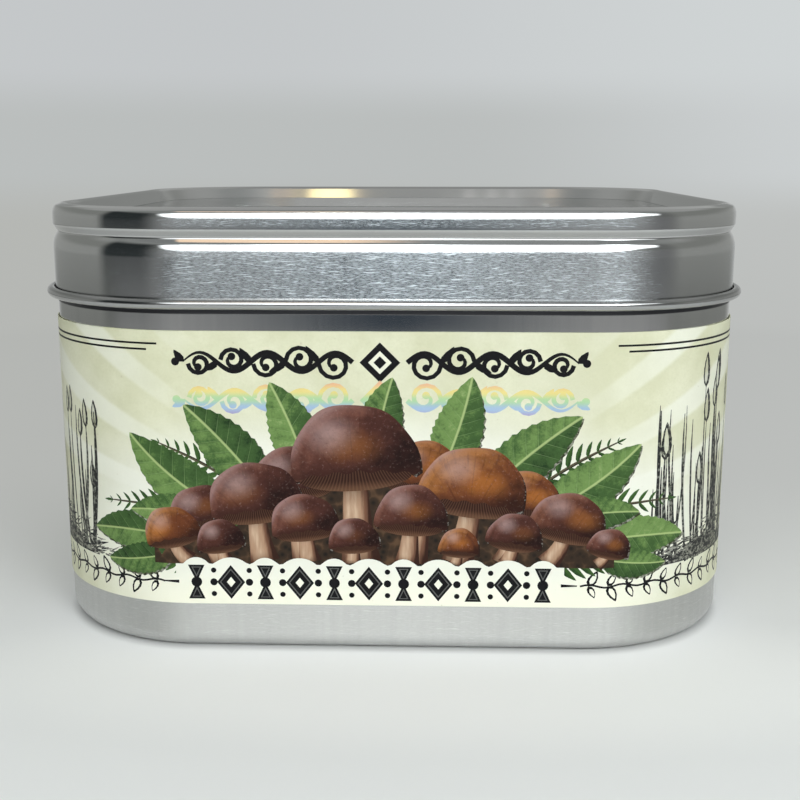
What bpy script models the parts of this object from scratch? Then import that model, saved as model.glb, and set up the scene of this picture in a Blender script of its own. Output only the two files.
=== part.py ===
"""Square tinplate tin with round corners, a slip-on lid with a clear window, and a paper label round it.

Metres, +Z up. The origin is the middle of the base, where the tin stands, and its front faces -Y.
Profiles are lists of (half width, height): how far a point of the section lies from the tin's
middle, and how high above the base. Each profile is swept round the tin's rounded square.
"""

import math

import bmesh
import bpy

MM = 0.001

# Driving dimensions
BODY_WIDTH = 98.6 * MM  # flat to flat over the bare wall
CORNER_RADIUS = 22.5 * MM  # of the wall's upright corners
TIN_HEIGHT = 61.0 * MM  # base to the lid's highest line
TINPLATE = 0.20 * MM  # sheet thickness, body and lid
CLEARANCE = 0.12 * MM  # between pieces that slide over or rest on each other

BASE_ROUNDING = 3.0 * MM  # outer radius where the base turns up into the wall
RIM_ROLL = 0.55 * MM  # radius of the body's inward rolled rim, to the middle of the sheet
RIM_HEIGHT = 55.95 * MM  # top of that rim

SKIRT_HEIGHTS = (48.4 * MM, 55.0 * MM)  # the straight wall of the lid below its groove
GROOVE_HEIGHT = 57.1 * MM  # deepest line of the groove pressed round the lid
GROOVE_DEPTH = 0.6 * MM
RING_HEIGHTS = (58.1 * MM, 59.6 * MM)  # the straight band above the groove
SHOULDER_RADIUS = 1.1 * MM  # where the band turns in to the flange, to the middle of the sheet
SHOULDER_END = 83  # degrees turned there, so that the flange climbs a little inwards
CURL_ROLL = 0.60 * MM  # radius of the curl along the skirt's lower edge, to the middle of the sheet

WINDOW_WIDTH = 92.4 * MM  # flat to flat at the foot of the slope round the window
HEM_SLOPE = 58  # degrees that this slope falls inwards from the flange
HEM_RADIUS = 0.6 * MM  # of the turn from the flange into it, to the middle of the sheet
HEM_END = 58.78 * MM  # height that it reaches down to
PANE_THICKNESS = 0.4 * MM

LABEL_HEIGHTS = (6.8 * MM, 44.8 * MM)
LABEL_THICKNESS = 0.12 * MM

CORNER_STEPS = 8  # facets to a corner, seen from above
GROOVE_STEPS = 8

# Worked out
HALF_SHEET = TINPLATE / 2
BODY_HALF = BODY_WIDTH / 2
WALL = BODY_HALF - HALF_SHEET  # middle of the body's sheet
SKIRT = BODY_HALF + CLEARANCE + HALF_SHEET  # middle of the lid's sheet, below the groove and above it


def arc(centre, radius, start, end, steps):
    """Points of an arc, with its angles in degrees from straight outwards, turning upwards."""
    angles = [math.radians(start + (end - start) * i / steps) for i in range(steps + 1)]
    return [(centre[0] + radius * math.cos(a), centre[1] + radius * math.sin(a)) for a in angles]


def rounded_square(half_width):
    """The tin's plan at this half width, anticlockwise. Its corners share their centres at every width."""
    straight = BODY_HALF - CORNER_RADIUS
    radius = half_width - straight
    points = []
    for x_side, y_side, start in ((1, 1, 0), (-1, 1, 90), (-1, -1, 180), (1, -1, 270)):
        centre = (x_side * straight, y_side * straight)
        points += arc(centre, radius, start, start + 90, CORNER_STEPS)
    return points


def body_section():
    """From the flat base, up the wall and once round its inward rolled rim."""
    turn = BASE_ROUNDING - HALF_SHEET
    corner = arc((WALL - turn, HALF_SHEET + turn), turn, -90, 0, 5)
    rim_centre = (WALL - RIM_ROLL, RIM_HEIGHT - HALF_SHEET - RIM_ROLL)
    return corner + arc(rim_centre, RIM_ROLL, 0, 285, 9)


def lid_section():
    """From the window's slope over the flange, down the band, in at the groove, down the skirt to its curl."""
    foot = WINDOW_WIDTH / 2 + HALF_SHEET
    turn = math.radians(HEM_SLOPE)
    centre_height = TIN_HEIGHT - HALF_SHEET - HEM_RADIUS
    rise = centre_height + HEM_RADIUS * math.cos(turn) - HEM_END
    centre = (foot + rise / math.tan(turn) + HEM_RADIUS * math.sin(turn), centre_height)
    window_edge = [(foot, HEM_END)] + arc(centre, HEM_RADIUS, 90 + HEM_SLOPE, 90, 3)
    shoulder = arc((SKIRT - SHOULDER_RADIUS, RING_HEIGHTS[1]), SHOULDER_RADIUS, SHOULDER_END, 0, 5)
    curl = arc((SKIRT + CURL_ROLL, SKIRT_HEIGHTS[0]), CURL_ROLL, 180, 465, 10)
    return window_edge + shoulder + groove_section() + curl


def groove_section():
    """A soft dip, deepest at GROOVE_HEIGHT, which is nearer the band above it than the skirt below."""
    top, bottom = RING_HEIGHTS[0], SKIRT_HEIGHTS[1]
    lean = math.log(0.5) / math.log((top - GROOVE_HEIGHT) / (top - bottom))
    points = []
    for i in range(GROOVE_STEPS + 1):
        share = i / GROOVE_STEPS
        depth = GROOVE_DEPTH * math.sin(math.pi * share**lean) ** 2
        points.append((SKIRT - depth, top + (bottom - top) * share))
    return points


def label_section():
    inner = BODY_HALF + CLEARANCE
    outer = inner + LABEL_THICKNESS
    low, high = LABEL_HEIGHTS
    return [(outer, low), (outer, high), (inner, high), (inner, low)]


def outline(name, points, closed):
    """A curve object through these points in the XY plane."""
    curve = bpy.data.curves.new(name, "CURVE")
    curve.dimensions = "2D"
    curve.fill_mode = "NONE"
    spline = curve.splines.new("POLY")
    spline.points.add(len(points) - 1)
    for point, (x, y) in zip(spline.points, points):
        point.co = (x, y, 0, 1)
    spline.use_cyclic_u = closed
    piece = bpy.data.objects.new(name, curve)
    bpy.context.scene.collection.objects.link(piece)
    return piece


def sweep(name, section, closed=False):
    """The mesh that this section leaves when it is carried round the tin."""
    path = outline("path", rounded_square(BODY_HALF), closed=True)
    inwards = [(BODY_HALF - half, height) for half, height in section]
    profile = outline("profile", inwards, closed)
    path.data.bevel_mode = "OBJECT"
    path.data.bevel_object = profile
    graph = bpy.context.evaluated_depsgraph_get()
    mesh = bpy.data.meshes.new_from_object(path.evaluated_get(graph))
    mesh.name = name
    for helper in (path, profile):
        bpy.data.objects.remove(helper, do_unlink=True)
    return mesh


def fill_base(mesh):
    """Closes the hole that the swept section leaves in the middle of the base."""
    work = bmesh.new()
    work.from_mesh(mesh)
    bottom = [
        edge
        for edge in work.edges
        if edge.is_boundary and all(vertex.co.z < BASE_ROUNDING / 2 for vertex in edge.verts)
    ]
    bmesh.ops.holes_fill(work, edges=bottom, sides=0)
    bmesh.ops.recalc_face_normals(work, faces=work.faces)
    work.to_mesh(mesh)
    work.free()


def material(name, colour, metallic, roughness, transmission=0.0):
    made = bpy.data.materials.new(name)
    made.use_nodes = True
    shader = made.node_tree.nodes["Principled BSDF"]
    shader.inputs["Base Color"].default_value = (*colour, 1.0)
    shader.inputs["Metallic"].default_value = metallic
    shader.inputs["Roughness"].default_value = roughness
    shader.inputs["Transmission Weight"].default_value = transmission
    made.diffuse_color = (*colour, 1.0)
    return made


def add(collection, name, mesh, finish):
    mesh.shade_smooth()
    mesh.set_sharp_from_angle(angle=math.radians(35))
    mesh.materials.append(finish)
    piece = bpy.data.objects.new(name, mesh)
    collection.objects.link(piece)
    return piece


def give_thickness(piece):
    sheet = piece.modifiers.new("sheet", "SOLIDIFY")
    sheet.thickness = TINPLATE
    sheet.offset = 0
    sheet.use_even_offset = True


def tin_body(collection):
    mesh = sweep("tin_body", body_section())
    fill_base(mesh)
    finish = material("tinplate_body", (0.60, 0.60, 0.59), 1.0, 0.38)
    give_thickness(add(collection, "tin_body", mesh, finish))


def lid_frame(collection):
    mesh = sweep("lid_frame", lid_section())
    finish = material("tinplate_lid", (0.58, 0.58, 0.58), 1.0, 0.28)
    give_thickness(add(collection, "lid_frame", mesh, finish))


def window_pane(collection):
    """A flat clear sheet, held between the slope round the window and the groove."""
    half = SKIRT - HALF_SHEET - CLEARANCE
    shape = outline("pane_outline", rounded_square(half), closed=True)
    shape.data.fill_mode = "BOTH"
    shape.data.extrude = PANE_THICKNESS / 2
    graph = bpy.context.evaluated_depsgraph_get()
    mesh = bpy.data.meshes.new_from_object(shape.evaluated_get(graph))
    mesh.name = "window_pane"
    bpy.data.objects.remove(shape, do_unlink=True)
    work = bmesh.new()
    work.from_mesh(mesh)
    bmesh.ops.remove_doubles(work, verts=work.verts, dist=0.01 * MM)
    work.to_mesh(mesh)
    work.free()
    finish = material("clear_plastic", (0.93, 0.95, 0.95), 0.0, 0.05, transmission=1.0)
    pane = add(collection, "window_pane", mesh, finish)
    pane.location.z = HEM_END - CLEARANCE - PANE_THICKNESS / 2


def paper_label(collection):
    mesh = sweep("paper_label", label_section(), closed=True)
    finish = material("printed_paper", (0.83, 0.80, 0.62), 0.0, 0.55)
    add(collection, "paper_label", mesh, finish)


def main():
    for old in list(bpy.data.objects):
        bpy.data.objects.remove(old, do_unlink=True)
    collection = bpy.data.collections.new("square_window_tin")
    bpy.context.scene.collection.children.link(collection)
    tin_body(collection)
    lid_frame(collection)
    window_pane(collection)
    paper_label(collection)


main()
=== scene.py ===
"""The looks of a square tinplate tin: its lid with a clear window, and a printed paper label round it."""

import math
import random

import bmesh
import bpy
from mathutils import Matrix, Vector
from mathutils.geometry import delaunay_2d_cdt


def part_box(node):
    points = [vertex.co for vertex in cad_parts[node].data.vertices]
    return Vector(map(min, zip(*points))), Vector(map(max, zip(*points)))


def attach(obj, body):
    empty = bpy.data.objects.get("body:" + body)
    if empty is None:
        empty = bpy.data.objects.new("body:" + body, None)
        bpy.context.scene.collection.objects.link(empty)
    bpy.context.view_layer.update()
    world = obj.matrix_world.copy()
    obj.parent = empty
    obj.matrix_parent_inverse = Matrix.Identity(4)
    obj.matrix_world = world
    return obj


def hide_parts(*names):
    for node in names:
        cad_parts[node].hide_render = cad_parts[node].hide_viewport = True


MM = 0.001
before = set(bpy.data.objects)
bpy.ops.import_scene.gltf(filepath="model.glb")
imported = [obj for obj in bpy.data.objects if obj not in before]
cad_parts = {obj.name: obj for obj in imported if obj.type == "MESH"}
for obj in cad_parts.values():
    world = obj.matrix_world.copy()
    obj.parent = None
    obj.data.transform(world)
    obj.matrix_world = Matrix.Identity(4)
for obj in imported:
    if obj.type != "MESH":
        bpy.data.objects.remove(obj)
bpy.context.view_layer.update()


def half_width(node):
    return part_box(node)[1].x / MM


def heights(node):
    low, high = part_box(node)
    return low.z / MM, high.z / MM


# What the frame gives, in millimetres
BODY_HALF = half_width("tin_body")
BODY_TOP = heights("tin_body")[1]
LID_HALF = half_width("lid_frame")  # out to the curl
LID_LOW = heights("lid_frame")[0]
PANE_HALF = half_width("window_pane")
PANE_LOW, PANE_TOP = heights("window_pane")
LABEL_HALF = half_width("paper_label")
LABEL_LOW, LABEL_HIGH = heights("paper_label")

# Plan and sheet
CORNER_RADIUS = 22.5  # of the body's wall
CORNER_CENTRE = BODY_HALF - CORNER_RADIUS  # all widths of the plan turn about these centres
CORNER_ARC = math.pi / 2 * CORNER_RADIUS
WALL_QUARTER = 2 * CORNER_CENTRE + CORNER_ARC  # one flat side of the wall and one corner
CORNER_STEPS = 40
SHEET = 0.20  # tinplate
CREASE = 40  # degrees, from which an edge is shown sharp
UV_UNIT = 10  # millimetres to 1 on the UV maps that hold lengths

# Lid, down its outer face
CURL_RADIUS = 0.70
SKIRT_HALF = LID_HALF - 2 * CURL_RADIUS + SHEET
RING_HALF = SKIRT_HALF - 0.05
WINDOW_HALF = 46.2  # at the foot of the slope round the window
LID_FACE = (  # half width, height above the curl's lowest line, radius of the turn there
    (WINDOW_HALF, 11.08, 0),
    (WINDOW_HALF + 1.46, 13.41, 1.00),
    (RING_HALF - 0.355, 12.86, 0.68),
    (RING_HALF, 12.08, 2.40),
    (RING_HALF, 10.29, 0.40),
    (SKIRT_HALF - 0.72, 9.25, 0.37),
    (SKIRT_HALF - 0.095, 8.17, 3.15),
    (SKIRT_HALF, 7.054, 10.0),
)
PANE_GAP = 0.015  # from the window to the cut edge of the slope over it

# Body
RIM_ROLL = 0.55  # out of sight under the lid
BASE_ROUNDING = 2.5

# Wear and dullness of the tinplate, with painted shade in the dull bands: from this height to that one, and
# how much
LID_WEAR = ((0.0, 70.0, 0.10), (48.9, 55.5, 0.90), (58.3, 59.9, 0.50))
# The lid's curl, the crease above it and the groove are rougher, and painted darker: painted shade.
LID_DULL_AND_SHADE = ((LID_LOW - 1.0, LID_LOW + 1.35, 0.28), (48.75, 49.4, 0.25), (57.05, 57.95, 0.24))
BODY_WEAR = ((-1.0, 7.8, 1.0),)
# Below the label the body is darker and rougher. Under the curl it is painted near black: a painted shadow
# line.
BODY_DULL_AND_SHADE = ((-1.0, 7.8, 0.12), (LID_LOW - 0.76, LID_LOW + 1.0, 0.97))

# Label
PAPER = 0.12
LABEL_STRAIGHT = 2 * CORNER_CENTRE
LABEL_ARC = math.pi / 2 * (LABEL_HALF - CORNER_CENTRE)
LABEL_ARC_STEPS = 32
LABEL_ROUND = 4 * (LABEL_STRAIGHT + LABEL_ARC)
OVERLAP = 7.0  # of the label's ends, at the middle of the tin's back
LAP_RAMP = 2.0  # over this length the outer end rises on to the inner one
LAP_STEPS = 4
LAP_GAP = 0.03  # between the two ends

# Depth of the finest relief, in metres
SCRATCH_DEPTH = 0.000004
FIBRE_DEPTH = 0.00002


# ---------------------------------------------------------------- shader expressions


def math_node(operation, swapped=False):
    """A method of Wire that adds this Math node. Swapped, the wire is the node's second value."""

    def method(wire, *others):
        values = (*others, wire) if swapped else (wire, *others)
        return wire.finish.node("Math", *values, settings={"operation": operation})

    return method


class Wire:
    """A socket's value. Arithmetic on it adds Math nodes to its material."""

    def __init__(self, finish, socket):
        self.finish = finish
        self.socket = socket

    __add__ = math_node("ADD")
    __radd__ = math_node("ADD", swapped=True)
    __sub__ = math_node("SUBTRACT")
    __rsub__ = math_node("SUBTRACT", swapped=True)
    __mul__ = math_node("MULTIPLY")
    __rmul__ = math_node("MULTIPLY", swapped=True)
    __truediv__ = math_node("DIVIDE")
    __rtruediv__ = math_node("DIVIDE", swapped=True)
    __pow__ = math_node("POWER")
    __gt__ = math_node("GREATER_THAN")
    __abs__ = math_node("ABSOLUTE")
    sin = math_node("SINE")
    fract = math_node("FRACT")
    root = math_node("SQRT")
    angle = math_node("ARCTAN2")
    at_least = math_node("MAXIMUM")

    def clamp(self):
        return self.finish.node("Math", self, 0.0, settings={"operation": "ADD", "use_clamp": True})

    def rise(self, start, end):
        """0 up to start, 1 from end on, smooth between. Start may be the larger."""
        return self.finish.node("MapRange", self, start, end, settings={"interpolation_type": "SMOOTHSTEP"})

    def out(self, name):
        """Another output of the node that this wire leaves."""
        return Wire(self.finish, self.socket.node.outputs[name])


class Finish:
    """The nodes of a material, a lamp or a world, written as expressions."""

    def __init__(self, owner):
        owner.use_nodes = True
        self.owner = owner
        self.tree = owner.node_tree
        self.tree.nodes.clear()

    def node(self, kind, *inputs, settings=None, **named):
        """A node of this type, its settings set first, then its sockets' values or links. Returns its
        first output."""
        made = self.tree.nodes.new("ShaderNode" + kind)
        for key, value in (settings or {}).items():
            setattr(made, key, value)
        sockets = list(enumerate(inputs)) + [(key.replace("_", " "), named[key]) for key in named]
        for key, value in sockets:
            if isinstance(value, Wire):
                self.tree.links.new(value.socket, made.inputs[key])
            elif isinstance(value, tuple):
                made.inputs[key].default_value = (*value, 1.0)
            elif value is not None:
                made.inputs[key].default_value = value
        return Wire(self, made.outputs[0]) if made.outputs else None

    def split(self, vector):
        first = self.node("SeparateXYZ", vector)
        return [first.out(axis) for axis in "XYZ"]

    def place(self, kind):
        """X, Y and Z of these texture coordinates."""
        return self.split(self.node("TexCoord").out(kind))

    def uv(self, name):
        """The two coordinates that a UV map holds."""
        return self.split(self.node("UVMap", settings={"uv_map": name}))[:2]

    def noise(self, x, y, scale=1.0, detail=2.0, roughness=0.5, z=0.0):
        where = self.node("CombineXYZ", x, y, z)
        return self.node("TexNoise", Vector=where, Scale=scale, Detail=detail, Roughness=roughness)

    def mix(self, share, first, second):
        """From the first colour to the second."""
        other_types = [None] * 5
        made = self.node("Mix", share, *other_types, first, second, settings={"data_type": "RGBA"})
        return made.out(2)

    def shades(self, share, *colours):
        """Along a list of colours, evenly spaced, smooth between them."""
        made = self.node("ValToRGB", share)
        ramp = made.socket.node.color_ramp
        for _ in colours[2:]:
            ramp.elements.new(0.5)
        for i, colour in enumerate(colours):
            ramp.elements[i].position = i / (len(colours) - 1)
            ramp.elements[i].color = (*colour, 1.0)
        ramp.interpolation = "EASE"
        return made

    def bump(self, height, distance):
        return self.node("Bump", Strength=1.0, Distance=distance, Height=height)

    def principled(self, **sockets):
        return self.node("BsdfPrincipled", **sockets)

    def output(self, kind, shader):
        """Ends the nodes in this shader, and returns what they belong to."""
        self.node("Output" + kind, shader)
        return self.owner


# ---------------------------------------------------------------- profiles and sweeps


def arc(centre, radius, start, end, steps):
    """Points of an arc, angles in degrees from straight outwards, turning upwards."""
    angles = [math.radians(start + (end - start) * i / steps) for i in range(steps + 1)]
    return [(centre[0] + radius * math.cos(a), centre[1] + radius * math.sin(a)) for a in angles]


def rounded(corners, degrees_a_step=4.0):
    """A line through these corners (x, y, radius), each turned with its radius."""
    points = []
    for i, (x, y, radius) in enumerate(corners):
        here = Vector((x, y))
        if radius == 0:
            points.append(here)
            continue
        back = (Vector(corners[i - 1][:2]) - here).normalized()
        ahead = (Vector(corners[i + 1][:2]) - here).normalized()
        between = back.angle(ahead)
        reach = radius / math.tan(between / 2)
        middle = here + (back + ahead).normalized() * radius / math.sin(between / 2)
        start, end = here + back * reach - middle, here + ahead * reach - middle
        turn = start.angle_signed(end)
        steps = max(2, round(math.degrees(abs(turn)) / degrees_a_step))
        for k in range(steps + 1):
            angle = -turn * k / steps
            cos, sin = math.cos(angle), math.sin(angle)
            points.append(middle + Vector((start.x * cos - start.y * sin, start.x * sin + start.y * cos)))
    kept = points[:1]
    for point in points[1:]:
        if (point - kept[-1]).length > 0.01:
            kept.append(point)
    return [tuple(p) for p in kept]


def inset(points, distance):
    """The line moved to its right by this distance."""
    moved = []
    for i, point in enumerate(points):
        before = Vector(points[max(i - 1, 0)])
        after = Vector(points[min(i + 1, len(points) - 1)])
        here = Vector(point)
        sides = []
        for a, b in ((before, here), (here, after)):
            if (b - a).length > 1e-9:
                along = (b - a).normalized()
                sides.append(Vector((along.y, -along.x)))
        normal = sum(sides, Vector((0, 0))).normalized()
        moved.append(tuple(here + normal * distance / max(0.3, normal.dot(sides[0]))))
    return moved


def plan(half):
    """The tin's plan at this half width: (x, y, length along the wall's plan), anticlockwise from +X."""
    points = []
    for quarter, (side_x, side_y) in enumerate(((1, 1), (-1, 1), (-1, -1), (1, -1))):
        centre = (side_x * CORNER_CENTRE, side_y * CORNER_CENTRE)
        corner = arc(centre, half - CORNER_CENTRE, 90 * quarter, 90 * quarter + 90, CORNER_STEPS)
        for i, (x, y) in enumerate(corner):
            points.append((x, y, quarter * WALL_QUARTER + CORNER_ARC * i / CORNER_STEPS))
    return points


def mesh_object(name, mesh, material):
    mesh.materials.append(material)
    made = bpy.data.objects.new(name, mesh)
    bpy.context.scene.collection.objects.link(made)
    return made


def sheet(middle, thickness):
    """The closed section of a sheet whose middle line this is."""
    return inset(middle, thickness / 2) + inset(middle, -thickness / 2)[::-1]


def swept(name, section, material, capped=False):
    """The section carried round the tin. Capped, both of its ends are filled across; otherwise it closes
    on itself. Its UV map holds the lengths round the tin and along the section."""
    work = bmesh.new()
    uv = work.loops.layers.uv.new("sheet")
    plans = [plan(half) for half, _ in section]
    rings = [
        [work.verts.new((x * MM, y * MM, height * MM)) for x, y, _ in points]
        for points, (_, height) in zip(plans, section)
    ]
    lengths = [0.0]
    for a, b in zip(section, section[1:] + section[:1]):
        lengths.append(lengths[-1] + math.dist(a, b))
    around = len(plans[0])
    marks = [point[2] for point in plans[0]] + [4 * WALL_QUARTER]
    for j in range(len(section) - capped):
        low, high = rings[j], rings[(j + 1) % len(section)]
        for i in range(around):
            k = (i + 1) % around
            face = work.faces.new((low[i], low[k], high[k], high[i]))
            for loop, a, b in zip(face.loops, (i, i + 1, i + 1, i), (j, j, j + 1, j + 1)):
                loop[uv].uv = (marks[a] / UV_UNIT, lengths[b] / UV_UNIT)
    if capped:
        for ring in (rings[0], rings[-1]):
            for loop in work.faces.new(ring).loops:
                loop[uv].uv = (loop.vert.co.x / MM / UV_UNIT, loop.vert.co.y / MM / UV_UNIT)
    bmesh.ops.recalc_face_normals(work, faces=work.faces)
    mesh = bpy.data.meshes.new(name)
    work.to_mesh(mesh)
    work.free()
    mesh.shade_smooth()
    mesh.set_sharp_from_angle(angle=math.radians(CREASE))
    piece = mesh_object(name, mesh, material)
    flats = piece.modifiers.new("flats", "WEIGHTED_NORMAL")
    flats.keep_sharp = True
    return piece


# ---------------------------------------------------------------- tinplate and window

# The colour the dull bands darken towards: mostly painted shade.
DULL_AND_SHADE_BLACK = (0.03, 0.03, 0.035)


def in_bands(height, bands, foot, head):
    """How much these bands give at a height. Foot and head say between which heights, from a band's lowest
    and highest line, it begins and ends."""
    return sum(
        height.rise(low + foot[0], low + foot[1]) * height.rise(high + head[0], high + head[1]) * share
        for low, high, share in bands
    )


def tinplate(name, colours, bluish, haze, fade, soft, scratched, drawn, wear, dull_and_shade):
    """Bare tinplate. Scratches run round the tin and spread light up and down it; drawing streaks run up it.

    Colours are the metal's two, and bluish is what its worn places turn to. Haze is how far they spread
    light, and fade how much less they do so at the corners. Soft is the roughness of faces that look
    inwards at a corner. Scratched and drawn are how much of each mark there is. Wear and dull list bands
    of height: the dull bands are rougher and darkened, the darkening mostly painted shade in creases and
    under the curl."""
    finish = Finish(bpy.data.materials.new(name))
    along, up = finish.uv("sheet")
    drift = finish.noise(along, up, 0.7, 2.0)
    lean = up + (drift - 0.5) * 0.16
    grain = finish.noise(along * 20.0, lean * 100.0, 1.0, 2.0, 0.6)
    fine = finish.noise(along * 12.0, lean * 90.0, 1.0, 2.0, 0.6, z=3.1)
    dash = finish.noise(along * 5.2, (lean + along * 0.03) * 104.0, 1.0, 2.0, 0.5, z=7.7).rise(0.62, 0.69)
    cross_up = (lean - along * 0.12) * 90.0
    cross = finish.noise((along + up) * 4.6, cross_up, 1.0, 1.0, 0.5, z=1.7).rise(0.66, 0.73)
    streak = finish.noise(along * 11.0, up * 0.30, 1.0, 3.0, 0.6, z=5.3)
    cloud = finish.noise(along, up, 0.45, 4.0, 0.6, z=9.9)
    patch = finish.noise(along * 1.1, up * 1.9, 1.0, 2.0, 0.5, z=6.1).rise(0.30, 0.70)
    marks = (dash * 1.2 + cross) * (0.55 + patch * 0.45) + (fine - 0.5) * 0.9 + (grain - 0.5) * 1.1

    x, y, height = (length / MM for length in finish.place("Object"))
    out_x, out_y = ((abs(side) - CORNER_CENTRE) / CORNER_RADIUS for side in (x, y))
    turning = out_x.clamp() * out_y.clamp()
    nearing = out_x.rise(-0.25, 0.0) * out_y.rise(-0.25, 0.0)
    corner = (turning - x * 0.003).rise(0.08, 0.32) * turning.rise(0.0, 0.04)
    outer = (out_x.clamp() ** 2.0 + out_y.clamp() ** 2.0).root().rise(0.93, 0.97)
    worn = in_bands(height, wear, (-0.4, 0.5), (0.4, -0.4)) * outer * (1.0 - corner * fade)
    # Painted shade: this mask darkens the metal towards near black in the creases, the groove and under the
    # curl, and makes those bands rougher.
    dulled_and_shaded = in_bands(height, dull_and_shade, (0.0, 0.15), (0.0, -0.3))

    shade = (0.5 + (cloud - 0.5) * 0.5 + (streak - 0.5) * drawn).clamp()
    metal = finish.mix(shade, *colours)
    relief = (grain * 0.5 + fine) * scratched * (0.05 + worn * 0.95) + streak * drawn
    normal = finish.bump(relief, SCRATCH_DEPTH)
    smooth = finish.principled(
        Base_Color=finish.mix(dulled_and_shaded, metal, DULL_AND_SHADE_BLACK),
        Metallic=1.0,
        Roughness=(0.06 + (cloud - 0.5) * 0.03 + dulled_and_shaded * 0.30 + (1.0 - outer) * nearing * soft).clamp(),
        Normal=normal,
    )
    hazy = finish.principled(
        Base_Color=finish.mix(dulled_and_shaded, finish.mix(0.5, metal, bluish), DULL_AND_SHADE_BLACK),
        Metallic=1.0,
        Roughness=0.42,
        Anisotropic=0.85,
        Anisotropic_Rotation=0.25,
        Normal=normal,
    )
    spread = haze * worn * (1.0 + (patch - 0.5) * scratched * 0.25)
    share = (spread + marks * worn * scratched * 0.80 + (streak - 0.5) * worn * drawn * 0.10).clamp()
    return finish.output("Material", finish.node("MixShader", share, smooth, hazy))


def clear_sheet():
    finish = Finish(bpy.data.materials.new("clear_window"))
    along, up = finish.uv("sheet")
    hair = finish.noise(along * 2.0, up * 30.0, 1.0, 3.0, 0.6).rise(0.6, 0.8)
    clear = finish.principled(
        Base_Color=(0.97, 0.985, 0.98),
        Roughness=0.015 + hair * 0.05,
        IOR=1.5,
        Transmission_Weight=1.0,
    )
    return finish.output("Material", clear)


# ---------------------------------------------------------------- the label's print

# Label coordinates are in millimetres: s runs round the tin from the middle of its front, rightwards
# as seen from outside, and z is the height above the base.


class Spine:
    """A line that leaves, stems and strokes grow along. It gives back how far along and aside a point is."""

    def __init__(self, points, width):
        self.points = [Vector(p) for p in points]
        self.width = width
        self.lengths = [0.0]
        for a, b in zip(self.points, self.points[1:]):
            self.lengths.append(self.lengths[-1] + (b - a).length)

    def normal(self, i):
        a = self.points[max(i - 1, 0)]
        b = self.points[min(i + 1, len(self.points) - 1)]
        along = (b - a).normalized()
        return Vector((-along.y, along.x))

    def __call__(self, s, z):
        point = Vector((s, z))
        best = None
        for i, (a, b) in enumerate(zip(self.points, self.points[1:])):
            along = b - a
            share = min(1.0, max(0.0, (point - a).dot(along) / along.length_squared))
            foot = a + along * share
            away = (point - foot).length
            if best is None or away < best[0]:
                side = along.x * (point.y - a.y) - along.y * (point.x - a.x)
                reach = self.lengths[i] + along.length * share
                best = (away, reach / self.lengths[-1], math.copysign(away, side) / self.width)
        return best[1], best[2]


def bend(start, direction, length, turn, steps=8):
    """Points of a line that leaves start in this direction and turns by this many degrees on its way."""
    points = [Vector(start)]
    for i in range(steps):
        angle = math.radians(direction + turn * (i + 0.5) / steps)
        points.append(points[-1] + Vector((math.cos(angle), math.sin(angle))) * length / steps)
    return points


def tilted(centre, degrees, wide, tall):
    """Two ways between the label and a shape turned about its centre: out of the shape's own x and y on to
    the label, and back into the shape, where wide and tall then count as 1."""
    turn = math.radians(degrees)
    cos, sin = math.cos(turn), math.sin(turn)

    def place(x, y):
        return centre[0] + x * cos - y * sin, centre[1] + x * sin + y * cos

    def spot(s, z):
        x, y = s - centre[0], z - centre[1]
        return (x * cos + y * sin) / wide, (y * cos - x * sin) / tall

    return place, spot


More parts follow.
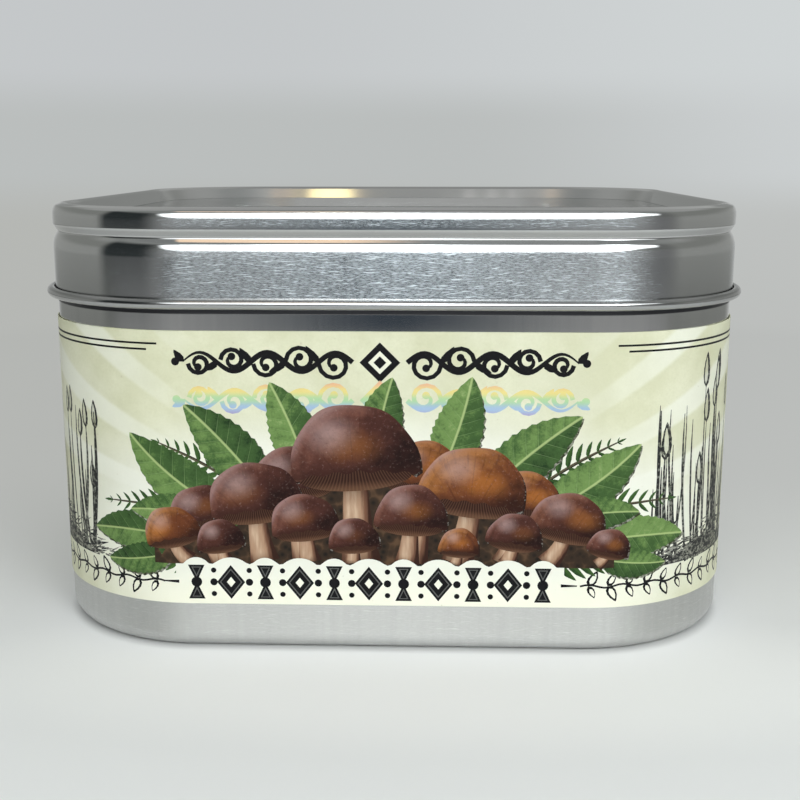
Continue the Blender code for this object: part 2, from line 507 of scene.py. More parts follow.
class Print:
    """The flat shapes on the label, each with its ink. A later shape lies over an earlier one."""

    def __init__(self):
        self.outlines = []
        self.inks = []
        self.spots = []
        self.tones = []
        self.lines = []

    def add(self, outline, ink, spot=None, tone=0.5):
        """A shape with this outline. Spot gives the ink each point's place in the shape."""
        area = sum(a[0] * b[1] - b[0] * a[1] for a, b in zip(outline, list(outline[1:]) + [outline[0]]))
        if abs(area) < 1e-4:
            return
        self.outlines.append(list(outline) if area > 0 else list(reversed(outline)))
        self.inks.append(ink)
        self.spots.append(spot or (lambda s, z: (s, z)))
        self.tones.append(tone)

    def stroke(self, points, ink, width, tone=0.5, taper=(1.0, 1.0)):
        """A ribbon along these points. Taper is the share of its width at either end."""
        spine = Spine(points, width / 2)
        sides = []
        for i, point in enumerate(spine.points):
            share = i / (len(points) - 1)
            ends = taper[0] + (taper[1] - taper[0]) * share
            swell = ends + (1 - ends) * math.sin(math.pi * share)
            across = spine.normal(i) * width / 2 * swell
            sides.append((point + across, point - across))
        for (a, b), (c, d) in zip(sides, sides[1:]):
            self.add([tuple(a), tuple(b), tuple(d), tuple(c)], ink, spine, tone)

    def leaf(self, start, direction, length, width, turn=0.0, teeth=11, tone=0.5, ink="leaf"):
        """A pointed leaf with a saw-toothed edge, and its midrib as a line in the sheet."""
        spine = Spine(bend(start, direction, length, turn, 3 * teeth), width / 2)
        edges = {1: [], -1: []}
        for i, point in enumerate(spine.points):
            share = i / (3 * teeth)
            shape = 1.93 * share**0.55 * (1 - share) ** 0.85
            if i % 3 == 1:
                continue
            tooth = 0.09 * shape if i % 3 == 2 else 0.0
            for side in edges:
                edges[side].append(point + spine.normal(i) * side * width / 2 * (shape + tooth))
        outline = edges[1] + list(reversed(edges[-1][1:-1]))
        if ink == "leaf":
            self.add([(p.x + 0.18, p.y - 0.28) for p in outline], "shade")
        self.add([tuple(p) for p in outline], ink, spine, tone)
        self.lines.append([tuple(p) for p in spine.points[::3]])

    def frond(self, start, direction, length, turn, pairs, reach, tone):
        """A fern: slim leaflets in pairs on a bending stalk, shorter towards its tip."""
        stalk = bend(start, direction, length, turn, 2 * pairs)
        self.stroke(stalk, "twig", 0.45, taper=(1.0, 0.3))
        for k in range(pairs):
            share = k / pairs
            foot = tuple(stalk[2 * k + 1])
            heading = direction + turn * (2 * k + 1) / (2 * pairs)
            size = reach * (1 - share) ** 0.8 * min(1.0, 0.55 + share * 3.0)
            for side in (1, -1):
                way, shown = heading + side * 58, tone + 0.12 * side
                self.leaf(foot, way, size, size * 0.30, -side * 24, 4, shown, "fern")
        self.leaf(tuple(stalk[-2]), direction + turn, reach * 0.22, reach * 0.07, 0, 3, tone, "fern")

    def oval(self, centre, radii, ink, tilt=0.0, tone=0.5, start=0, end=360, steps=28):
        """An ellipse, or its arc from start to end closed by a line. Its spot runs from -1 to 1 both ways."""
        place, spot = tilted(centre, tilt, *radii)
        count = steps if end - start == 360 else steps + 1
        angles = [math.radians(start + (end - start) * i / steps) for i in range(count)]
        self.add([place(radii[0] * math.cos(a), radii[1] * math.sin(a)) for a in angles], ink, spot, tone)

    def cap(self, centre, width, height, tilt, tone):
        """A mushroom's cap: a dome with a soft uneven brim, over its gills."""
        half = width / 2
        place, spot = tilted(centre, tilt, half, height)
        dome = []
        for i in range(33):
            angle = math.pi * i / 32
            lump = 1 + 0.018 * math.sin(3 * angle + centre[0]) + 0.012 * math.sin(7 * angle + centre[1] * 2)
            aside = math.copysign(abs(math.cos(angle)) ** 0.94, math.cos(angle))
            dome.append((half * lump * aside, height * lump * math.sin(angle) ** (0.74 + tone * 0.2)))
        brim = []
        for i in range(1, 24):
            x = -half + width * i / 24
            dip = 0.15 * height * (1 - (x / half) ** 2) ** 0.5
            wave = 0.025 * height * math.sin(11.0 * i / 24 * math.pi + centre[0])
            brim.append((x, dip * 0.9 - 0.10 * height + wave))
        outline = [place(x, y) for x, y in dome + brim]
        self.add([(x + 0.22, z - 0.30) for x, z in outline], "gloom", tone=0.8)
        self.oval(place(0, -0.03 * height), (half * 0.88, height * 0.21), "gills", tilt, tone)
        self.add(outline, "cap", spot, tone)

    def mushroom(self, foot, top, stem, width, height, tilt=0.0, tone=0.5):
        """A stem from foot to top, and a cap of this width and height on it."""
        points = []
        for i in range(9):
            share = i / 8
            sway = math.sin(math.pi * share) * (top[0] - foot[0]) * 0.18
            points.append((foot[0] + (top[0] - foot[0]) * share + sway, foot[1] + (top[1] - foot[1]) * share))
        spine = Spine(points, stem / 2)
        left, right = [], []
        for i, point in enumerate(spine.points):
            share = i / 8
            swell = 1.0 - 0.28 * share + 0.25 * (1 - share) ** 3
            across = spine.normal(i) * stem / 2 * swell
            left.append(tuple(point + across))
            right.append(tuple(point - across))
        self.add(left + right[::-1], "stem", spine, tone)
        self.lines.append(points)
        self.cap(top, width, height, tilt, tone)


def spiral(centre, radius, start, turns, end_radius):
    """Points of a line that winds from one radius to the other about its centre."""
    points = []
    for i in range(17):
        share = i / 16
        angle = math.radians(start + 360 * turns * share)
        reach = radius + (end_radius - radius) * share
        points.append((centre[0] + reach * math.cos(angle), centre[1] + reach * math.sin(angle)))
    return points


def lozenge(s, z, wide, tall):
    return [(s - wide, z), (s, z - tall), (s + wide, z), (s, z + tall)]


SCROLL_MIDDLE = -0.8
SCROLL_START = 3.6  # where the scroll begins, from that middle
SCROLL_REACH = 26.2 - SCROLL_START


def upper_ornament(art, height, ink="black", up=1):
    """A running scroll, the same on both sides of a lozenge. With up at -1 it is turned upside down."""
    for side in (1, -1):

        def along(share):
            return SCROLL_MIDDLE + side * (SCROLL_START + SCROLL_REACH * share)

        wave = [(along(i / 48), height + up * 1.25 * math.sin(2 * math.pi * 2.5 * i / 48)) for i in range(49)]
        art.stroke(wave, ink, 0.78, taper=(0.9, 0.25))
        for k in range(5):
            way = up if k % 2 == 0 else -up
            centre = (along((k + 0.52) / 5), height - way * 0.25)
            curl = spiral(centre, 2.15 - 0.17 * k, 90 - side * 90, -side * way * 1.2, 0.5)
            art.stroke(curl, ink, 0.62, taper=(1.0, 0.45))
            art.oval(curl[-1], (0.52, 0.52), ink, steps=14)
            tip = (along((k + 0.96) / 5), height)
            art.leaf(tip, way * (90 - side * 50), 2.9 - 0.2 * k, 1.25, side * 20, 3, ink=ink)
        art.oval((along(1.045), height), (0.55, 0.55), ink, steps=14)
    for size, fill in ((2.7, ink), (1.55, "paper_light"), (0.85, ink)):
        art.add(lozenge(SCROLL_MIDDLE, height, size, size), fill)


LOZENGES_MIDDLE = -2.4
LOZENGES_HEIGHT = 9.95
LOZENGES_APART = 4.75
LOZENGE_TALL = 2.45  # half of its height
LOZENGE_WIDE = 1.95  # half of its width
SPINDLE_WIDE = 1.15


def pale_ground(marks):
    """The light shape that the row stands on. It follows the marks at a little distance."""
    middle, height = LOZENGES_MIDDLE, LOZENGES_HEIGHT
    above, below = [], []
    for i in range(105):
        x = middle - 26.6 + 53.2 * i / 104
        domes = [max(0.0, 1 - ((x - s) / (wide + 1.5)) ** 2) for s, wide in marks]
        reach = max(2.6, *(math.sqrt(dome) * (LOZENGE_TALL + 1.1) for dome in domes))
        above.append((x, height + reach))
        below.append((x, height - min(reach, 2.9)))
    return above + below[::-1]


def lower_ornament(art):
    """A row of heavy black lozenges, spindles and studs on a pale ground."""
    middle, height = LOZENGES_MIDDLE, LOZENGES_HEIGHT
    marks = [(middle + LOZENGES_APART * k, SPINDLE_WIDE if k % 2 else LOZENGE_WIDE) for k in range(-5, 6)]
    art.add(pale_ground(marks), "paper")
    for k, (x, wide) in enumerate(marks):
        if wide == LOZENGE_WIDE:
            for share, ink in ((1.0, "black"), (0.80, "worn"), (0.70, "black"), (0.30, "paper_light")):
                art.add(lozenge(x, height, wide * share, LOZENGE_TALL * share), ink)
        else:
            for way in (1, -1):
                end, core = height + way * LOZENGE_TALL, height + way * LOZENGE_TALL * 0.72
                bell = [(x - wide, end), (x, height), (x + wide, end)]
                art.add(bell, "black")
                for share, rest, ink in ((0.6, 0.4, "worn"), (0.42, 0.58, "black")):
                    art.add([(s * share + x * rest, z * share + core * rest) for s, z in bell], ink)
            art.oval((x, height), (0.75, 0.75), "black", steps=16)
        if k < len(marks) - 1:
            for lift, size in ((-1.7, 0.38), (0.0, 0.52), (1.7, 0.38)):
                art.oval((x + 2.45 + 0.2 * (wide - 1.5), height + lift), (size, size), "black", steps=12)
    for side in (1, -1):
        x = middle + side * 26.2
        art.stroke([(x, height), (x + side * 2.2, height)], "black", 0.45, taper=(1.0, 0.4))


VINE_HEIGHT = 9.9
VINE_SPACING = 2.7  # from one pair of leaves to the next


def vine(art, start, end):
    """A thin stem with pairs of outlined leaves, round the foot of the label."""
    side = 1 if end > start else -1
    count = round(abs(end - start) / VINE_SPACING)
    stem = [
        (start + (end - start) * i / (4 * count), VINE_HEIGHT + 0.22 * math.sin(i * 0.9))
        for i in range(4 * count + 1)
    ]
    art.stroke(stem, "black", 0.34, taper=(0.8, 0.8))
    for k in range(count):
        base = (start + (end - start) * (k + 0.4) / count, VINE_HEIGHT)
        for up in (1, -1):
            direction = up * (90 - side * 36)
            size = 1.0 + 0.16 * math.sin(k * 2.3 + up)
            art.leaf(base, direction, 2.25 * size, 1.45 * size, side * up * 14, 4, ink="black")
            inner = bend(base, direction, 0.45, 0, 1)[-1]
            art.leaf(tuple(inner), direction, 1.5 * size, 0.80 * size, side * up * 14, 4, ink="paper")


def rules(art):
    """Two fine lines along the head of the label, left open over the front."""
    for height, start in ((43.05, 30.5), (42.25, 32.0)):
        for side in (1, -1):
            reach = LABEL_ROUND / 2 - 3
            points = [(side * (start + (reach - start) * i / 60), height) for i in range(61)]
            art.stroke(points, "black", 0.30, taper=(0.9, 0.9))


PEN_GROUND = 12.0


def pen_grass(art, middle, spread, count, tall, seed):
    """Blades, seed heads and short ground strokes, as if drawn with a grey pen."""
    dice = random.Random(seed)
    for _ in range(count):
        s = middle + dice.uniform(-spread, spread)
        height = tall * dice.uniform(0.35, 1.0)
        lean = dice.uniform(-16, 16)
        blade = bend((s, PEN_GROUND + 0.4 + dice.uniform(-0.6, 0.8)), 90 + lean, height, -lean * 1.2, 6)
        art.stroke(blade, "pen", dice.uniform(0.26, 0.62), 0.4 + dice.random() * 0.6, taper=(1.0, 0.3))
        if dice.random() < 0.45 and height > tall * 0.45:
            tip = blade[-1]
            head = 90 - lean * 0.2
            foot, inner_foot = tip - Vector((0, 0.9)), tip - Vector((0.12, 0.4))
            art.leaf(tuple(foot), head, tall * 0.20, tall * 0.085, 0, 5, 0.9, ink="pen")
            art.leaf(tuple(inner_foot), head, tall * 0.15, tall * 0.040, 0, 4, 0.3, ink="pen_light")
    bank = [(middle + spread * (i / 20 - 1), PEN_GROUND) for i in range(41)]
    for i in range(41):
        share = i / 40
        rise = math.sin(math.pi * share) ** 1.4 * 2.6 + dice.uniform(-0.35, 0.45)
        bank.append((middle + spread * (1 - 2 * share), PEN_GROUND + 0.05 + max(0.05, rise)))
    art.add(bank, "pen", tone=0.7)
    for i in range(count * 7):
        s = middle + dice.gauss(0, spread * 0.6)
        z = PEN_GROUND + 0.2 + abs(dice.gauss(0, 2.4 if i % 3 else 1.2))
        hatch = bend((s, z), dice.uniform(-18, 26), dice.uniform(0.7, 2.4), 12, 2)
        art.stroke(hatch, "pen", dice.uniform(0.18, 0.40), dice.random(), (0.8, 0.2))


def pen_mushrooms(art, middle, seed):
    """A small group of cap mushrooms in grey line."""
    dice = random.Random(seed)
    for offset, tall, width in ((-6.0, 12.5, 8.0), (1.5, 17.5, 11.0), (8.5, 10.0, 6.5)):
        s, half, dome = middle + offset, width / 2, width * 0.42
        foot, brim = PEN_GROUND + 0.6, PEN_GROUND + 0.9 + tall
        art.stroke(bend((s, foot), 92, tall, -6, 8), "pen", 1.9, 0.8, (1.1, 0.8))
        art.stroke(bend((s, PEN_GROUND + 0.8), 92, tall - 0.4, -6, 8), "pen_light", 1.2, 0.3, (1.1, 0.8))
        art.oval((s, foot + tall), (half, dome), "pen", 0, 0.8, 0, 180, 20)
        art.oval((s, brim), (half - 0.45, dome - 0.5), "pen_light", 0, 0.3, 0, 180, 20)
        for k in range(9):
            x = s - half + width * (k + 1) / 10
            gill = bend((x, brim), 90 + (s - x) * 9, width * 0.16 * dice.uniform(0.6, 1.3), 0, 3)
            art.stroke(gill, "pen", 0.22, 0.6, (0.9, 0.2))


def greenery(art):
    """Ferns and broad leaves behind the mushrooms, rising and falling to both sides."""
    for start, direction, length, turn, pairs, reach, tone in (
        ((-13.0, 16.5), 158, 27.0, 26, 17, 7.0, 0.30),
        ((13.5, 16.5), 24, 27.0, -26, 17, 7.0, 0.42),
        ((-15.0, 19.5), 136, 19.5, 24, 13, 6.0, 0.55),
        ((15.5, 19.5), 45, 19.5, -22, 13, 6.0, 0.25),
        ((-20.0, 14.0), 184, 19.0, -14, 13, 5.2, 0.42),
        ((19.0, 14.0), -2, 19.5, 12, 13, 5.2, 0.34),
    ):
        art.frond(start, direction, length, turn, pairs, reach, tone)
    for start, direction, length, width, turn, tone in (
        ((-22.0, 20.0), 150, 17.0, 8.8, -18, 0.62),
        ((-16.5, 23.0), 126, 16.0, 8.8, 12, 0.36),
        ((-10.5, 25.5), 106, 13.5, 8.2, 12, 0.78),
        ((-1.5, 27.5), 84, 11.5, 7.6, -12, 0.50),
        ((7.5, 26.0), 66, 13.5, 8.4, 14, 0.72),
        ((13.5, 23.0), 46, 16.5, 9.0, -12, 0.42),
        ((21.0, 20.0), 28, 16.5, 8.6, 16, 0.68),
        ((-29.0, 16.5), 172, 13.5, 7.2, 18, 0.50),
        ((28.0, 16.5), 6, 14.0, 7.4, -14, 0.80),
        ((-29.5, 14.0), 196, 10.5, 5.6, -12, 0.30),
        ((29.0, 13.8), -12, 10.0, 5.4, 10, 0.40),
        ((-25.0, 19.5), 168, 10.5, 6.0, 20, 0.88),
        ((24.0, 19.5), 14, 10.5, 6.0, -20, 0.34),
    ):
        art.leaf(start, direction, length, width, turn, 12, tone)


def mushroom_group(art):
    """Cap mushrooms on a low dark mound, tall in the middle and small at the ends."""
    mound = [(-32.0 + 63.0 * i / 40, 12.5) for i in range(41)]
    for i in range(61):
        share = i / 60
        ragged = 0.7 * math.sin(i * 1.9) + 0.5 * math.sin(i * 3.7)
        mound.append((31.0 - 63.0 * share, 14.6 + 9.5 * math.sin(math.pi * share) ** 1.3 + ragged))
    art.add(mound, "mound")
    for foot, top, stem, width, height, tilt, tone in (
        # foot, middle of the cap's brim, stem width, cap width, cap height, tilt, tone
        ((-11.0, 13.0), (-12.2, 23.0), 3.0, 11.5, 6.4, 9, 0.80),
        ((3.8, 13.0), (4.8, 24.0), 3.0, 11.0, 6.2, -4, 0.92),
        ((15.8, 13.0), (18.2, 20.6), 2.6, 10.0, 5.6, -10, 0.85),
        ((-22.5, 13.0), (-24.8, 18.6), 2.4, 9.4, 5.2, 12, 0.66),
        ((-3.4, 13.0), (-4.2, 25.4), 4.4, 17.5, 9.6, 4, 0.45),
        ((9.6, 13.0), (11.4, 21.4), 3.6, 14.5, 8.0, -7, 0.70),
        ((-16.6, 13.0), (-17.6, 20.0), 3.3, 12.8, 7.0, 7, 0.15),
        ((21.8, 13.0), (24.2, 17.4), 2.6, 10.4, 5.8, -12, 0.90),
        ((-27.0, 13.0), (-29.2, 15.9), 2.2, 8.0, 4.7, 12, 0.05),
        ((2.8, 13.0), (3.3, 18.2), 2.8, 10.0, 5.8, -3, 0.60),
        ((-10.4, 13.0), (-11.0, 17.2), 2.6, 9.4, 5.4, 6, 0.30),
        ((16.4, 13.0), (17.2, 15.8), 2.1, 7.6, 4.4, -8, 0.80),
        ((-22.0, 12.9), (-22.6, 15.0), 1.8, 6.6, 3.9, 8, 0.20),
        ((-4.6, 12.9), (-4.4, 15.2), 2.0, 7.0, 4.1, 3, 0.50),
        ((28.6, 12.9), (30.0, 14.6), 1.6, 6.0, 3.5, -14, 0.75),
        ((9.4, 12.8), (9.8, 14.6), 1.6, 5.6, 3.4, -4, 0.55),
    ):
        art.mushroom(foot, top, stem, width, height, tilt, tone)


def draw_label():
    art = Print()
    vine(art, 26.4, LABEL_ROUND / 2 - 4)
    vine(art, -30.6, 4 - LABEL_ROUND / 2)
    rules(art)
    pen_grass(art, middle=-52.0, spread=10.0, count=44, tall=21.0, seed=3)
    pen_grass(art, middle=47.5, spread=11.0, count=52, tall=25.0, seed=5)
    for side in (1, -1):
        pen_mushrooms(art, middle=side * 89.3, seed=7)
        pen_grass(art, middle=side * 89.3, spread=19.0, count=56, tall=15.0, seed=11 + side)
    upper_ornament(art, height=40.7)
    upper_ornament(art, height=35.6, ink="pastel", up=-1)
    greenery(art)
    mushroom_group(art)
    lower_ornament(art)
    return art


# ---------------------------------------------------------------- the label's sheet


def label_place(s, lift):
    """(x, y) of a point this far round and lifted off the label's face, and the outward normal there."""
    radius = LABEL_HALF - CORNER_CENTRE
    side = LABEL_STRAIGHT + LABEL_ARC
    ahead = (s + LABEL_STRAIGHT / 2) % LABEL_ROUND
    quarter = min(3, int(ahead // side))
    rest = ahead - quarter * side
    if rest <= LABEL_STRAIGHT:
        point = Vector((rest - LABEL_STRAIGHT / 2, -LABEL_HALF - lift))
        normal = Vector((0, -1))
    else:
        angle = (rest - LABEL_STRAIGHT) / radius
        normal = Vector((math.sin(angle), -math.cos(angle)))
        point = Vector((CORNER_CENTRE, -CORNER_CENTRE)) + normal * (radius + lift)
    cos, sin = ((1, 0), (0, 1), (-1, 0), (0, -1))[quarter]
    return (
        Vector((point.x * cos - point.y * sin, point.x * sin + point.y * cos)),
        Vector((normal.x * cos - normal.y * sin, normal.x * sin + normal.y * cos)),
    )


def label_lift(s):
    """The label's outer end lies on its inner one."""
    share = (s - (LABEL_ROUND / 2 - LAP_RAMP)) / LAP_RAMP
    share = min(1.0, max(0.0, share))
    return (PAPER + LAP_GAP) * share * share * (3 - 2 * share)


def label_folds():
    """Where the label needs an upright edge, because it turns or rises there."""
    side = LABEL_STRAIGHT + LABEL_ARC
    folds = [
        LABEL_STRAIGHT / 2 + quarter * side + LABEL_ARC * i / LABEL_ARC_STEPS
        for quarter in range(-3, 3)
        for i in range(LABEL_ARC_STEPS + 1)
    ]
    folds += [LABEL_ROUND / 2 - LAP_RAMP * (LAP_STEPS - i) / LAP_STEPS for i in range(LAP_STEPS + 1)]
    return [s for s in folds if -LABEL_ROUND / 2 < s < LABEL_ROUND / 2 + OVERLAP]


def cut_sheet(art):
    """The flat label, cut along its printed shapes and its folds: its points, its faces, and for each face
    the numbers of the shapes that it is in."""
    start, end = -LABEL_ROUND / 2, LABEL_ROUND / 2 + OVERLAP
    points = [(start, LABEL_LOW), (end, LABEL_LOW), (end, LABEL_HIGH), (start, LABEL_HIGH)]
    faces = [[0, 1, 2, 3]]
    for outline in art.outlines:
        faces.append(list(range(len(points), len(points) + len(outline))))
        points.extend(outline)
    edges = []
    for chain in art.lines + [[(s, LABEL_LOW), (s, LABEL_HIGH)] for s in label_folds()]:
        first = len(points)
        points.extend(chain)
        edges.extend((first + i, first + i + 1) for i in range(len(chain) - 1))
    spots, _, cut, _, _, sources = delaunay_2d_cdt([Vector(p) for p in points], edges, faces, 1, 1e-4, True)
    return spots, cut, sources


def round_edge(faces):
    """The vertices along the outside of a flat sheet of faces, anticlockwise."""
    sides = {(a, b) for face in faces for a, b in zip(face, face[1:] + face[:1])}
    ahead = {a: b for a, b in sides if (b, a) not in sides}
    chain = [min(ahead)]
    while ahead[chain[-1]] != chain[0]:
        chain.append(ahead[chain[-1]])
    return chain


def plain_back(edge):
    """Few faces over the sheet with this edge, from one long side straight across to the other."""
    low, high = (
        {round(p.x, 3): k for k, p in enumerate(edge) if abs(p.y - height) < 0.001}
        for height in (LABEL_LOW, LABEL_HIGH)
    )
    across = [(k, high[s]) for s, k in low.items() if s in high]
    _, _, faces, origins, _, _ = delaunay_2d_cdt(edge, across, [list(range(len(edge)))], 1, 1e-4, True)
    return [[origins[v][0] for v in face] for face in faces]


def paper_label(art, inks):
    """The label as one closed sheet: an outer face in pieces, each with its ink, a plain back and the
    narrow sides between them."""
    spots, cut, sources = cut_sheet(art)
    edge = round_edge(cut)
    count = len(spots)
    hidden = [[count + k for k in reversed(face)] for face in plain_back([spots[i] for i in edge])]
    for k, a in enumerate(edge):
        after = (k + 1) % len(edge)
        hidden.append([edge[after], a, count + k, count + after])
    spots += [spots[i] for i in edge]
    places = [label_place(p.x, label_lift(p.x) - (PAPER if i >= count else 0)) for i, p in enumerate(spots)]

    mesh = bpy.data.meshes.new("printed_label")
    corners = [(xy.x * MM, xy.y * MM, spot.y * MM) for (xy, _), spot in zip(places, spots)]
    mesh.from_pydata(corners, [], cut + hidden)
    order = list(inks)
    for ink in order:
        mesh.materials.append(inks[ink])
    layers = {name: mesh.uv_layers.new(name=name) for name in ("label", "motif", "tone")}
    normals = []
    for face in mesh.polygons:
        top = max(sources[face.index]) - 1 if face.index < len(cut) else -1
        face.material_index = order.index("paper" if top < 0 else art.inks[top])
        for loop in face.loop_indices:
            vertex = mesh.loops[loop].vertex_index
            spot, normal = spots[vertex], places[vertex][1]
            layers["label"].data[loop].uv = (spot.x / UV_UNIT, spot.y / UV_UNIT)
            if top >= 0:
                layers["motif"].data[loop].uv = art.spots[top](spot.x, spot.y)
                layers["tone"].data[loop].uv = (art.tones[top], 0.5)
            normals.append((normal.x, normal.y, 0) if face.index < len(cut) else face.normal[:])
    mesh.shade_smooth()
    mesh.normals_split_custom_set(normals)
    piece = bpy.data.objects.new("printed_label", mesh)
    bpy.context.scene.collection.objects.link(piece)
    return piece


# ---------------------------------------------------------------- inks


class Ink(Finish):
    """A finish on the label's paper. S and z are its place there, in centimetres."""

    def __init__(self, name):
        super().__init__(bpy.data.materials.new("label_" + name))
        self.s, self.z = self.uv("label")

    def specks(self, scale, detail=3.0, roughness=0.6, z=0.0):
        """Noise laid flat on the label."""
        return self.noise(self.s, self.z, scale, detail, roughness, z)

    def tone(self):
        """How light or dark the printed shape is, of its kind."""
        return self.uv("tone")[0]

    def printed(self, colour, roughness):
        fibre = self.specks(40.0, 3.0, 0.65)
        shader = self.principled(
            Base_Color=colour,
            Roughness=(roughness + (fibre - 0.5) * 0.12).clamp(),
            Specular_IOR_Level=0.12,
            Normal=self.bump(fibre, FIBRE_DEPTH),
        )
        return self.output("Material", shader)


def parchment(ink):
    """Cream paper with soft clouds, specks, a pale glow behind the picture and faint rays to both sides."""
    s, z = ink.s, ink.z
    colour = ink.mix(ink.specks(0.9, 5.0, 0.62).rise(0.30, 0.72), (0.60, 0.60, 0.41), (0.72, 0.72, 0.54))
    colour = ink.mix(ink.specks(26.0, 3.0, 0.7, z=2.0).rise(0.35, 0.75) * 0.22, colour, (0.53, 0.52, 0.35))
    colour = ink.mix(ink.specks(0.45, 3.0, 0.5, z=8.0).rise(0.46, 0.68) * 0.30, colour, (0.78, 0.78, 0.66))
    away = ((s / 5.2) ** 2.0 + ((z - 1.75) / 1.6) ** 2.0).root()
    colour = ink.mix(away.rise(1.20, 0.60) * 0.75, colour, (0.84, 0.845, 0.79))
    colour = ink.mix(z.rise(1.35, 0.75) * abs(s).rise(4.2, 2.8) * 0.8, colour, (0.88, 0.87, 0.72))
    ray = ((z - 1.6).angle(abs(s)) * 34.0).sin().rise(0.1, 0.6)
    rays = ray * abs(s).rise(2.2, 4.2) * z.rise(2.0, 2.8) * 0.5
    colour = ink.mix(rays, colour, (0.86, 0.87, 0.80))
    return ink.mix(ink.specks(14.0, 2.0, 0.5, z=4.0).rise(0.70, 0.78) * 0.30, colour, (0.40, 0.36, 0.24))


def light_paper(ink):
    return ink.mix(0.65, parchment(ink), (0.80, 0.80, 0.69))


def black(ink):
    return ink.mix(ink.specks(30.0).rise(0.58, 0.80) * 0.07, (0.006, 0.006, 0.007), (0.30, 0.29, 0.24))


def worn_black(ink):
    return ink.mix(ink.specks(22.0), (0.05, 0.05, 0.05), (0.17, 0.17, 0.16))


def pastel(ink):
    """Five soft colours from the head of the upside-down scroll to its foot."""
    rainbow = ink.shades(
        (3.80 - ink.z) / 0.46,
        (0.78, 0.34, 0.18), (0.78, 0.62, 0.14), (0.30, 0.58, 0.28), (0.20, 0.38, 0.68), (0.24, 0.14, 0.52),
    )
    return ink.mix(0.30, rainbow, parchment(ink))


def thin(strength, dark):
    """An uneven ink that lets the paper through. It returns what draws it."""

    def draw(ink):
        broken = ink.specks(18.0).rise(0.30, 0.70)
        share = (strength * (0.62 + ink.tone() * 0.35) * (0.62 + broken * 0.5)).clamp()
        return ink.mix(share, parchment(ink), dark)

    return draw


def leaf_green(ink):
    """A printed leaf: quilted between its side veins, lighter on one half, with a pale midrib."""
    along, aside = ink.uv("motif")
    reach = abs(aside)
    vein = ((along - reach * 0.20) * 8.0 + (aside > 0.0) * 0.5).fract()
    quilt = vein.rise(0.0, 0.85) * (1.0 - vein.rise(0.86, 1.0))
    half = (aside > 0.0) * 0.24
    blotch = ink.specks(5.0, 4.0)
    net = ink.specks(26.0, 3.0, 0.7, z=3.0)
    light = ink.tone() * 0.36 + half + quilt * 0.10 + (blotch - 0.5) * 0.62 + (net - 0.5) * 0.42
    light = (light - reach * 0.10 + 0.10).clamp()
    dark, green, pale = (0.010, 0.026, 0.010), (0.046, 0.098, 0.028), (0.150, 0.250, 0.075)
    colour = ink.shades(light, dark, green, pale, (0.42, 0.52, 0.23))
    fine = (1.0 - vein.rise(0.0, 0.06)) + vein.rise(0.96, 1.0)
    colour = ink.mix(fine * 0.35 * (1.0 - reach).clamp(), colour, (0.34, 0.48, 0.20))
    rib = 1.0 - reach.rise(0.015, 0.055)
    return ink.mix(rib * 0.75, colour, (0.42, 0.52, 0.22))


def fern_green(ink):
    """Printed leaflets: one half lit, the other in shade."""
    along, aside = ink.uv("motif")
    blotch = ink.specks(7.0)
    light = (ink.tone() * 0.5 + (aside > 0.0) * 0.22 + along * 0.2 + (blotch - 0.5) * 0.4).clamp()
    return ink.shades(light, (0.010, 0.028, 0.010), (0.040, 0.095, 0.022), (0.13, 0.24, 0.06))


def twig_brown(ink):
    aside = ink.uv("motif")[1]
    return ink.mix(aside.rise(-1.0, 1.0), (0.020, 0.016, 0.010), (0.12, 0.10, 0.06))


